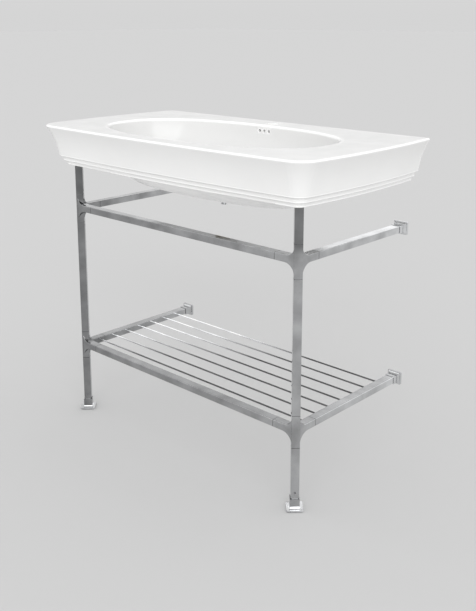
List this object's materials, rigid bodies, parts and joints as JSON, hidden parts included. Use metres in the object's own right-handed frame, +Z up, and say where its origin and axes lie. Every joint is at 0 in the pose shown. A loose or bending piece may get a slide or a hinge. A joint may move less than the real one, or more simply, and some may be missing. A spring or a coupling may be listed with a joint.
{
  "type": "washbasin",
  "caption": "Rectangular white ceramic washbasin with a moulded apron and an oval bowl on a chrome frame with front legs, wall rails and a rod shelf.",
  "frame": {"origin": "on the floor, below the centre of the overall plan", "axes": "+Z up, +Y towards the wall, +X along the front to the right of someone facing the wall"},
  "size_m": [1, 0.525, 0.88],
  "materials": {
    "glazed_ceramic": "glossy white glaze",
    "chrome": "polished chrome plate",
    "nylon": "black nylon",
    "rubber": "black rubber",
    "screw_steel": "plain steel",
    "brass": "plain brass"
  },
  "bodies": {
    "washstand": {"basin": "glazed_ceramic", "corner_joint_lower_left": "chrome", "corner_joint_lower_right": "chrome", "corner_joint_upper_left": "chrome", "corner_joint_upper_right": "chrome", "foot_set_screws": "screw_steel", "front_rail_lower": "chrome", "front_rail_upper": "chrome", "leg_cap_left": "nylon", "leg_cap_right": "nylon", "leg_lower_left": "chrome", "leg_lower_right": "chrome", "leg_middle_left": "chrome", "leg_middle_right": "chrome", "leg_set_screws": "screw_steel", "leg_upper_left": "chrome", "leg_upper_right": "chrome", "rail_set_screws": "screw_steel", "shelf_rod_1": "chrome", "shelf_rod_2": "chrome", "shelf_rod_3": "chrome", "shelf_rod_4": "chrome", "shelf_rod_5": "chrome", "shelf_rod_6": "chrome", "shelf_rod_7": "chrome", "side_rail_lower_left": "chrome", "side_rail_lower_right": "chrome", "side_rail_upper_left": "chrome", "side_rail_upper_right": "chrome", "wall_flange_lower_left": "chrome", "wall_flange_lower_right": "chrome", "wall_flange_upper_left": "chrome", "wall_flange_upper_right": "chrome", "waste_back_nut": "brass", "waste_body": "chrome", "waste_bottom_seal": "rubber", "waste_top_seal": "rubber"},
    "left_foot": {"foot_left": "chrome", "floor_pad_left": "rubber"},
    "right_foot": {"foot_right": "chrome", "floor_pad_right": "rubber"},
    "plug": {"waste_plug": "chrome", "plug_seal": "rubber"}
  },
  "joints": [
    {"name": "left_foot_height", "type": "slide", "parent": "washstand", "child": "left_foot", "axis": [0, 0, -1], "range_m": [-0.0028, 0.012]},
    {"name": "right_foot_height", "type": "slide", "parent": "washstand", "child": "right_foot", "axis": [0, 0, -1], "range_m": [-0.0028, 0.012]},
    {"name": "plug_lift", "type": "slide", "parent": "washstand", "child": "plug", "axis": [0, 0, 1], "range_m": [0, 0.008]}
  ]
}
